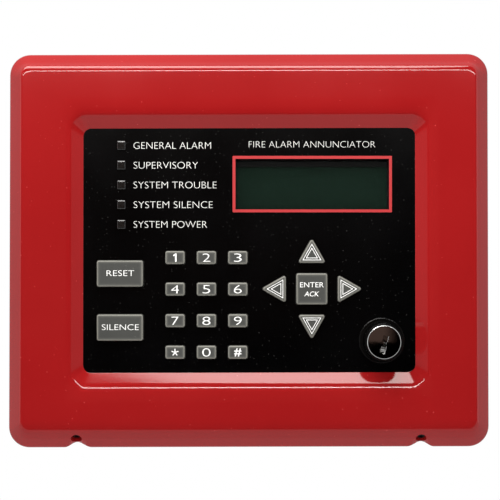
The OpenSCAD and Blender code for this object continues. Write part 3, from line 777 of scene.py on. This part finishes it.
# The moulding sits a little skewed and low on its box and is a little wider at its foot
swell_x, swell_y, widen, skew, shift, drop = 1.0042, 1.0022, 0.0000257, 0.0025, 0.07, 0.23
low_edge = -case_h / 2 * swell_y - drop + skew * shell_x
shell_x, shell_y = (shell_x * (swell_x - widen * shell_y) + shift,
                    shell_y * swell_y - drop + skew * shell_x)

# The driver grooves: a bell-shaped rise of the lower wall, which its inside follows. The wall is the
# soft maximum of itself and the groove's roof, and the roof lies under the wall away from a groove
groove_x, groove_half, groove_rise, groove_shift = 87.0, 7.4, 3.0, 0.25
away = np.clip(np.abs(np.abs(shell_x - groove_shift) - groove_x) / groove_half, 0, 1)
bell = 0.5 + 0.5 * np.cos(pi * away)
roof_thick = np.where(is_outside, 0.0, wall - 0.1)[:, None]
roof = low_edge + groove_rise * bell + roof_thick - 0.4 * (bell < 0.01)
soft = 0.35
raised = np.logaddexp(shell_y / soft, roof / soft) * soft
near = (shell_y < -80) & (bell > 0.001)
shell_y = np.where(near, np.maximum(raised - soft * np.log(2) * (1 - bell), shell_y), shell_y)
shell = np.stack([shell_x, shell_y, shell_z], -1)
bezel = new_piece("bezel_moulding", shell.reshape(-1, 3), skin_faces(*shell.shape[:2], True), red_gloss,
                  "panel")

# The screw holes slant down out of the lower bevel, each at the end of its groove
screw_tilt = radians(59)
hole_y, hole_out, bore_r, mouth_r, hole_reach = -94.55, 33.3, 2.25, 2.75, 9
screw_hole = turned([(0.3, -hole_reach), (bore_r, -hole_reach), (bore_r, -1.0), (mouth_r, -1.0),
                     (mouth_r, hole_reach), (0.3, hole_reach)], (0, 0), steps=48)
holes = []
for sign in (-1, 1):
    co = screw_hole[0]
    tipped_y = co[:, 1] * cos(screw_tilt) - co[:, 2] * sin(screw_tilt)
    tipped_z = co[:, 1] * sin(screw_tilt) + co[:, 2] * cos(screw_tilt)
    placed = np.stack([co[:, 0] + sign * groove_x, tipped_y + hole_y, tipped_z + hole_out], 1)
    holes.append((placed, screw_hole[1]))
cut(bezel, *join_shapes(holes))
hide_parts("bezel")


# ---- Studio ----
# A pale floor below, one large soft light above and in front with a narrow one ahead of it, and an
# even pale surround that is dark towards the front, as in a light tent.

floor_mat, _, _ = new_finish("floor_paint", ((0.8, 0.8, 0.79), (0.83, 0.83, 0.82)), (0.5, 0.6), drift=2.0,
                             grain=300.0)
floor_half, floor_near, floor_far, floor_z = 1.4, -1.6, 0.38, -0.3
floor_mesh = bpy.data.meshes.new("floor")
floor_corners = box_corners(-floor_half, floor_half, floor_near, floor_far)
floor_mesh.from_pydata([(x, y, floor_z) for x, y in floor_corners], [], [(0, 1, 2, 3)])
floor_mesh.materials.append(floor_mat)
floor = bpy.data.objects.new("floor", floor_mesh)
bpy.context.scene.collection.objects.link(floor)
floor.visible_glossy = False


def soft_light(name, place, aim, size, power):
    """A rectangular softbox at place that faces aim."""
    data = bpy.data.lights.new(name, "AREA")
    data.shape = "RECTANGLE"
    data.size, data.size_y = size
    data.energy = power
    data.color = (1, 0.985, 0.955)
    lamp = bpy.data.objects.new(name, data)
    lamp.location = place
    toward = np.array(aim) - np.array(place)
    tilt = atan2(np.hypot(toward[0], toward[1]), -toward[2])
    lamp.rotation_euler = (tilt, 0, -atan2(toward[0], toward[1]))
    bpy.context.scene.collection.objects.link(lamp)


soft_light("softbox", (-0.09, -0.3, 0.5), (0, -0.03, 0), (0.62, 0.31), 5.3)
soft_light("strip_light", (0, -0.72, 0.235), (0, -0.03, 0), (0.7, 0.034), 1.9)

world = bpy.data.worlds.new("tent")
world.use_nodes = True
bpy.context.scene.world = world
tent = world.node_tree
surround = tent.nodes["Background"]
direction = tent.nodes.new("ShaderNodeTexCoord").outputs["Generated"]
axes = tent.nodes.new("ShaderNodeSeparateXYZ")
tent.links.new(direction, axes.inputs[0])
to_front = maths(tent, "MULTIPLY", axes.outputs["Y"], -1.0)


def ramp(value, dark, light, top):
    """Rises from nothing where value is dark to top where it is light."""
    node = tent.nodes.new("ShaderNodeMapRange")
    tent.links.new(value, node.inputs["Value"])
    node.inputs["From Min"].default_value, node.inputs["From Max"].default_value = dark, light
    node.inputs["To Max"].default_value = top
    return node.outputs[0]


sides = maths(tent, "SUBTRACT", ramp(to_front, 0.63, 0.44, 1.0), ramp(to_front, 0.0, -0.1, 0.42))
downward = ramp(axes.outputs["Z"], -0.27, -0.34, 1.0)
below = maths(tent, "MULTIPLY", downward, ramp(to_front, 0.8, 0.74, 0.62))
pale = maths(tent, "ADD", below, maths(tent, "MULTIPLY", sides, maths(tent, "SUBTRACT", 1.0, downward)))
above = ramp(axes.outputs["Z"], -0.073, -0.071, 1.0)
left_of = ramp(axes.outputs["X"], 0.115, 0.105, 1.0)
warm = maths(tent, "MULTIPLY", maths(tent, "MULTIPLY", above, left_of), ramp(to_front, 0.9, 0.92, 1.0))
tint = tent.nodes.new("ShaderNodeMix")
tint.data_type = "RGBA"
tint.inputs[7].default_value = (0.076, 0.047, 0.037, 1)
tent.links.new(warm, tint.inputs["Factor"])
path = tent.nodes.new("ShaderNodeLightPath")
wrap = maths(tent, "ADD", 1.0, maths(tent, "MULTIPLY", path.outputs["Is Diffuse Ray"], 0.35))
tent.links.new(maths(tent, "MULTIPLY", pale, wrap), tint.inputs[6])
seen = tent.nodes.new("ShaderNodeMix")
seen.data_type = "RGBA"
seen.inputs[7].default_value = (1, 1, 1, 1)
tent.links.new(path.outputs["Is Camera Ray"], seen.inputs["Factor"])
tent.links.new(tint.outputs[2], seen.inputs[6])
tent.links.new(seen.outputs[2], surround.inputs["Color"])
bpy.context.scene.view_settings.view_transform = "Standard"
